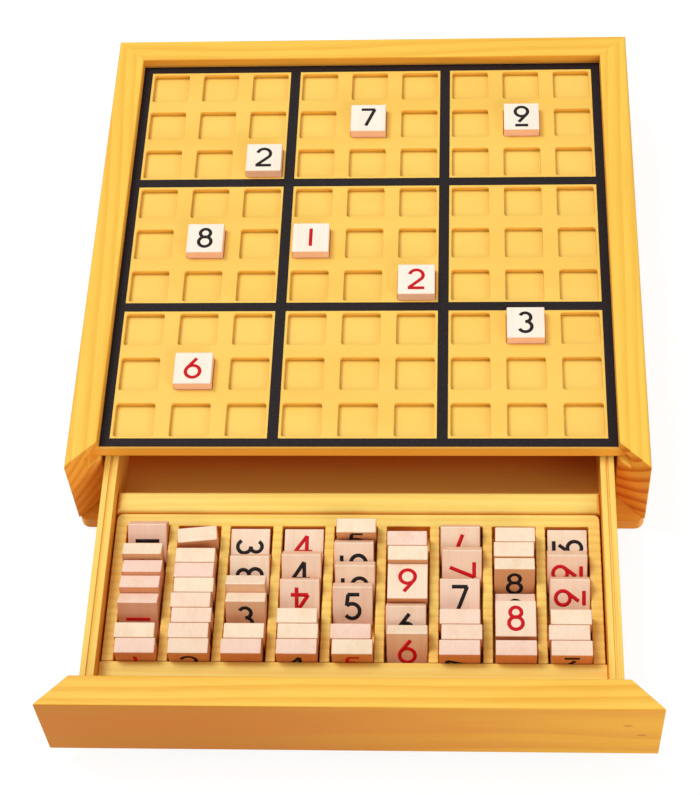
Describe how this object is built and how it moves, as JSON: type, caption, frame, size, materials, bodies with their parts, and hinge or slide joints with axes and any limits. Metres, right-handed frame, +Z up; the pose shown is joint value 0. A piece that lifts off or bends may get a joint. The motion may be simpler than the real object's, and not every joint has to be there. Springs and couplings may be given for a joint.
{
  "type": "sudoku board",
  "caption": "Square wooden sudoku board with a pocketed, line-marked top in a mitred frame, loose number tiles and a drawer with channels that stores them.",
  "frame": {"origin": "middle of the case's underside, between its left and right faces and between its back face and the tips of its side rails", "axes": "+X to the right, +Y to the back, +Z up; the drawer opens towards -Y"},
  "size_m": [0.23, 0.333, 0.045],
  "materials": {
    "stained_pine": "satin lacquer",
    "board_sheet": "satin lacquer",
    "tile_wood": "smooth, uncoated",
    "black_paint": "satin",
    "red_paint": "satin"
  },
  "bodies": {
    "case": {"back_rail": "stained_pine", "left_rail": "stained_pine", "right_rail": "stained_pine", "base_panel": "stained_pine", "board_grid": "board_sheet", "board_backing": "board_sheet"},
    "drawer": {"drawer_front": "stained_pine", "drawer_left_side": "stained_pine", "drawer_right_side": "stained_pine", "drawer_back": "stained_pine", "drawer_floor": "board_sheet", "front_ledge": "stained_pine", "divider_bar": "stained_pine", "tile_tray": "stained_pine", "drawer_tiles_1": "tile_wood", "drawer_tiles_2": "tile_wood", "drawer_tiles_3": "tile_wood", "drawer_tiles_4": "tile_wood", "drawer_tiles_5": "tile_wood", "drawer_tiles_6": "tile_wood", "drawer_tiles_7": "tile_wood", "drawer_tiles_8": "tile_wood", "drawer_tiles_9": "tile_wood"},
    "tile_7": {"board_tile_7": "tile_wood"},
    "tile_9": {"board_tile_9": "tile_wood"},
    "tile_2_left": {"board_tile_2_left": "tile_wood"},
    "tile_8": {"board_tile_8": "tile_wood"},
    "tile_1": {"board_tile_1": "tile_wood"},
    "tile_2_right": {"board_tile_2_right": "tile_wood"},
    "tile_3": {"board_tile_3": "tile_wood"},
    "tile_6": {"board_tile_6": "tile_wood"}
  },
  "joints": [
    {"name": "drawer_slide", "type": "slide", "parent": "case", "child": "drawer", "axis": [0, 1, 0], "range_m": [-0.06, 0.1017]},
    {"name": "tile_7_lift", "type": "slide", "parent": "case", "child": "tile_7", "axis": [0, 0, 1], "range_m": [0, 0.02]},
    {"name": "tile_9_lift", "type": "slide", "parent": "case", "child": "tile_9", "axis": [0, 0, 1], "range_m": [0, 0.02]},
    {"name": "tile_2_left_lift", "type": "slide", "parent": "case", "child": "tile_2_left", "axis": [0, 0, 1], "range_m": [0, 0.02]},
    {"name": "tile_8_lift", "type": "slide", "parent": "case", "child": "tile_8", "axis": [0, 0, 1], "range_m": [0, 0.02]},
    {"name": "tile_1_lift", "type": "slide", "parent": "case", "child": "tile_1", "axis": [0, 0, 1], "range_m": [0, 0.02]},
    {"name": "tile_2_right_lift", "type": "slide", "parent": "case", "child": "tile_2_right", "axis": [0, 0, 1], "range_m": [0, 0.02]},
    {"name": "tile_3_lift", "type": "slide", "parent": "case", "child": "tile_3", "axis": [0, 0, 1], "range_m": [0, 0.02]},
    {"name": "tile_6_lift", "type": "slide", "parent": "case", "child": "tile_6", "axis": [0, 0, 1], "range_m": [0, 0.02]}
  ]
}
